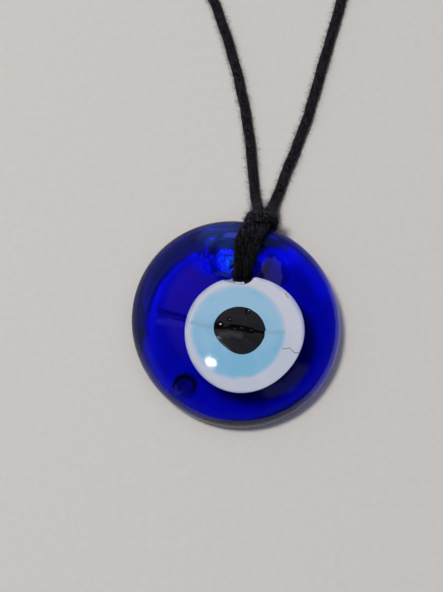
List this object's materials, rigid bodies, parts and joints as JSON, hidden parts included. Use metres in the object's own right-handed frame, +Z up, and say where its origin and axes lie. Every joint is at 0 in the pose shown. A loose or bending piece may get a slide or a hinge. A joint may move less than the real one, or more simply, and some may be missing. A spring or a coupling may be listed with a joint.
{
  "type": "evil eye amulet",
  "caption": "Flat round glass amulet, an eye of white, light blue and black dots on clear cobalt blue, hung by a cow hitch on a short loop of soft black cord with an end knot.",
  "frame": {"origin": "on the table under the middle of the glass disc, level with the lowest point of its back", "axes": "+Z up, out of the disc's face; +Y along the disc's back towards the hole and the cord; +X to the right of the eye. The disc leans 3.6 degrees about X, its cord side up, because the cord passes under it"},
  "size_m": [0.0469, 0.159, 0.0114],
  "materials": {
    "cobalt_glass": "clear cobalt blue glass, fire polished",
    "white_glass": "opaque white glass, fire polished",
    "light_blue_glass": "opaque light blue glass, fire polished",
    "black_glass": "opaque black glass, fire polished",
    "cotton_cord": "soft spun black cotton with loose fuzz"
  },
  "bodies": {
    "root": {"glass_body": "cobalt_glass", "white_dot": "white_glass", "iris": "light_blue_glass", "pupil": "black_glass", "cord_hitch": "cotton_cord", "cord_left": "cotton_cord", "cord_right": "cotton_cord", "end_knot": "cotton_cord"}
  },
  "joints": []
}
